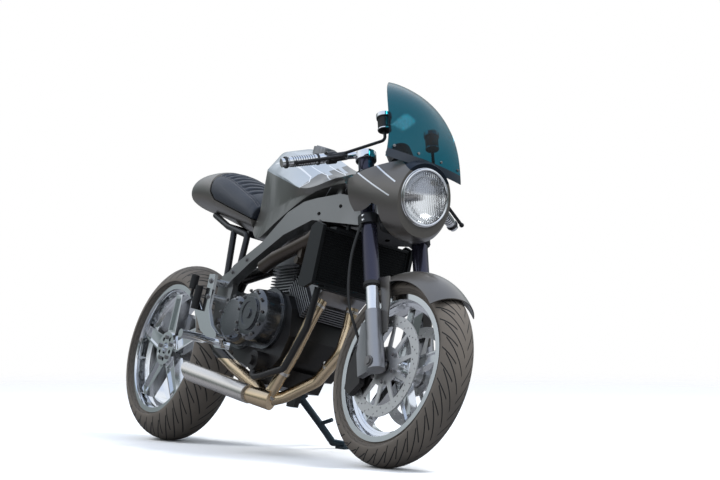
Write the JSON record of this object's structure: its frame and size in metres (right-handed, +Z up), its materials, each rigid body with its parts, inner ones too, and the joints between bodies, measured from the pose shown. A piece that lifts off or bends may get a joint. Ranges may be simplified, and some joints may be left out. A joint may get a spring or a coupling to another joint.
{
  "type": "cafe racer motorcycle",
  "caption": "Two-wheeled road motorcycle with a beam frame, V engine, one-sided rear arm, round lamp in a half fairing and a low tinted screen, parked on its side stand.",
  "frame": {"origin": "middle of the bounding box on the floor, under the bike as it stands parked", "axes": "+X towards the front, +Y towards the bike's left (the side it leans to), +Z up from the floor"},
  "size_m": [2.0641, 0.7993, 1.2092],
  "materials": {
    "body_paint": "satin warm grey metallic paint",
    "tank_paint": "satin warm grey metallic paint over the tank",
    "frame_paint": "silver beige satin paint",
    "black_metal": "satin black",
    "gunmetal": "gunmetal satin paint",
    "bare_alloy": "cast and machined alloy",
    "polished": "polished",
    "fork_dark": "dark anodised tube",
    "headers": "heat tinted stainless steel",
    "silencer_steel": "brushed stainless steel",
    "disc_steel": "ground steel",
    "steel": "plain steel",
    "tyre": "road rubber",
    "rubber": "black rubber",
    "leather": "dark stitched leather",
    "black_plastic": "matt black plastic",
    "smoked_screen": "blue tinted clear plastic",
    "lamp_glass": "fluted glass",
    "radiator_black": "matt black core",
    "stand_paint": "dark teal paint"
  },
  "bodies": {
    "frame": {"main_frame": "frame_paint", "engine_hangers": "silencer_steel", "subframe": "black_metal", "fuel_tank": "tank_paint", "filler_cap": "bare_alloy", "tail_cowl": "body_paint", "seat_pad": "leather", "crankcase": "black_metal", "engine_covers": "gunmetal", "front_cylinder": "bare_alloy", "rear_cylinder": "bare_alloy", "carburettors": "bare_alloy", "air_box": "black_plastic", "radiator": "radiator_black", "radiator_shrouds": "silencer_steel", "water_pump": "black_metal", "exhaust_headers": "headers", "exhaust_collector": "headers", "silencer": "silencer_steel", "swingarm": "bare_alloy", "rear_shock": "black_metal", "front_sprocket": "steel", "drive_chain": "steel", "rear_caliper": "bare_alloy", "footrest_hangers": "polished", "foot_controls": "polished", "rear_master_cylinder": "black_metal", "stand_bracket": "black_metal"},
    "steering": {"triple_clamps": "black_metal", "fork_tubes": "fork_dark", "fork_sliders": "polished", "fork_bottoms": "bare_alloy", "clip_on_bars": "polished", "bar_grips": "rubber", "hand_controls": "black_metal", "fairing": "body_paint", "headlight": "polished", "headlight_glass": "lamp_glass", "windscreen": "smoked_screen", "dial": "black_plastic", "lamp_arms": "black_metal", "front_mudguard": "body_paint", "front_calipers": "black_metal", "front_brake_hoses": "rubber", "front_axle": "steel"},
    "front_wheel": {"front_rim": "polished", "front_discs": "disc_steel", "front_tyre": "tyre"},
    "rear_wheel": {"rear_rim": "polished", "rear_tyre": "tyre", "rear_disc": "disc_steel", "rear_spindle": "steel"},
    "side_stand": {"side_stand": "stand_paint"}
  },
  "joints": [
    {"name": "steering_turn", "type": "hinge", "parent": "frame", "child": "steering", "pos_m": [0.70036, -0.08484, 0.2769], "axis": [-0.4276, 0.2139, 0.8783], "range_deg": [-34.9, 25.1]},
    {"name": "front_wheel_spin", "type": "hinge", "parent": "steering", "child": "front_wheel", "pos_m": [0.73279, -0.07821, 0.29106], "axis": [-0.0776, 0.9593, -0.2714], "continuous": true},
    {"name": "rear_wheel_spin", "type": "hinge", "parent": "frame", "child": "rear_wheel", "pos_m": [-0.71707, -0.07763, 0.30866], "axis": [-0.0004, 0.9715, -0.2368], "continuous": true},
    {"name": "side_stand_fold", "type": "hinge", "parent": "frame", "child": "side_stand", "pos_m": [-0.06427, 0.02622, 0.17632], "axis": [0.1032, 0.7861, 0.6094], "range_deg": [0, 92.04]}
  ]
}
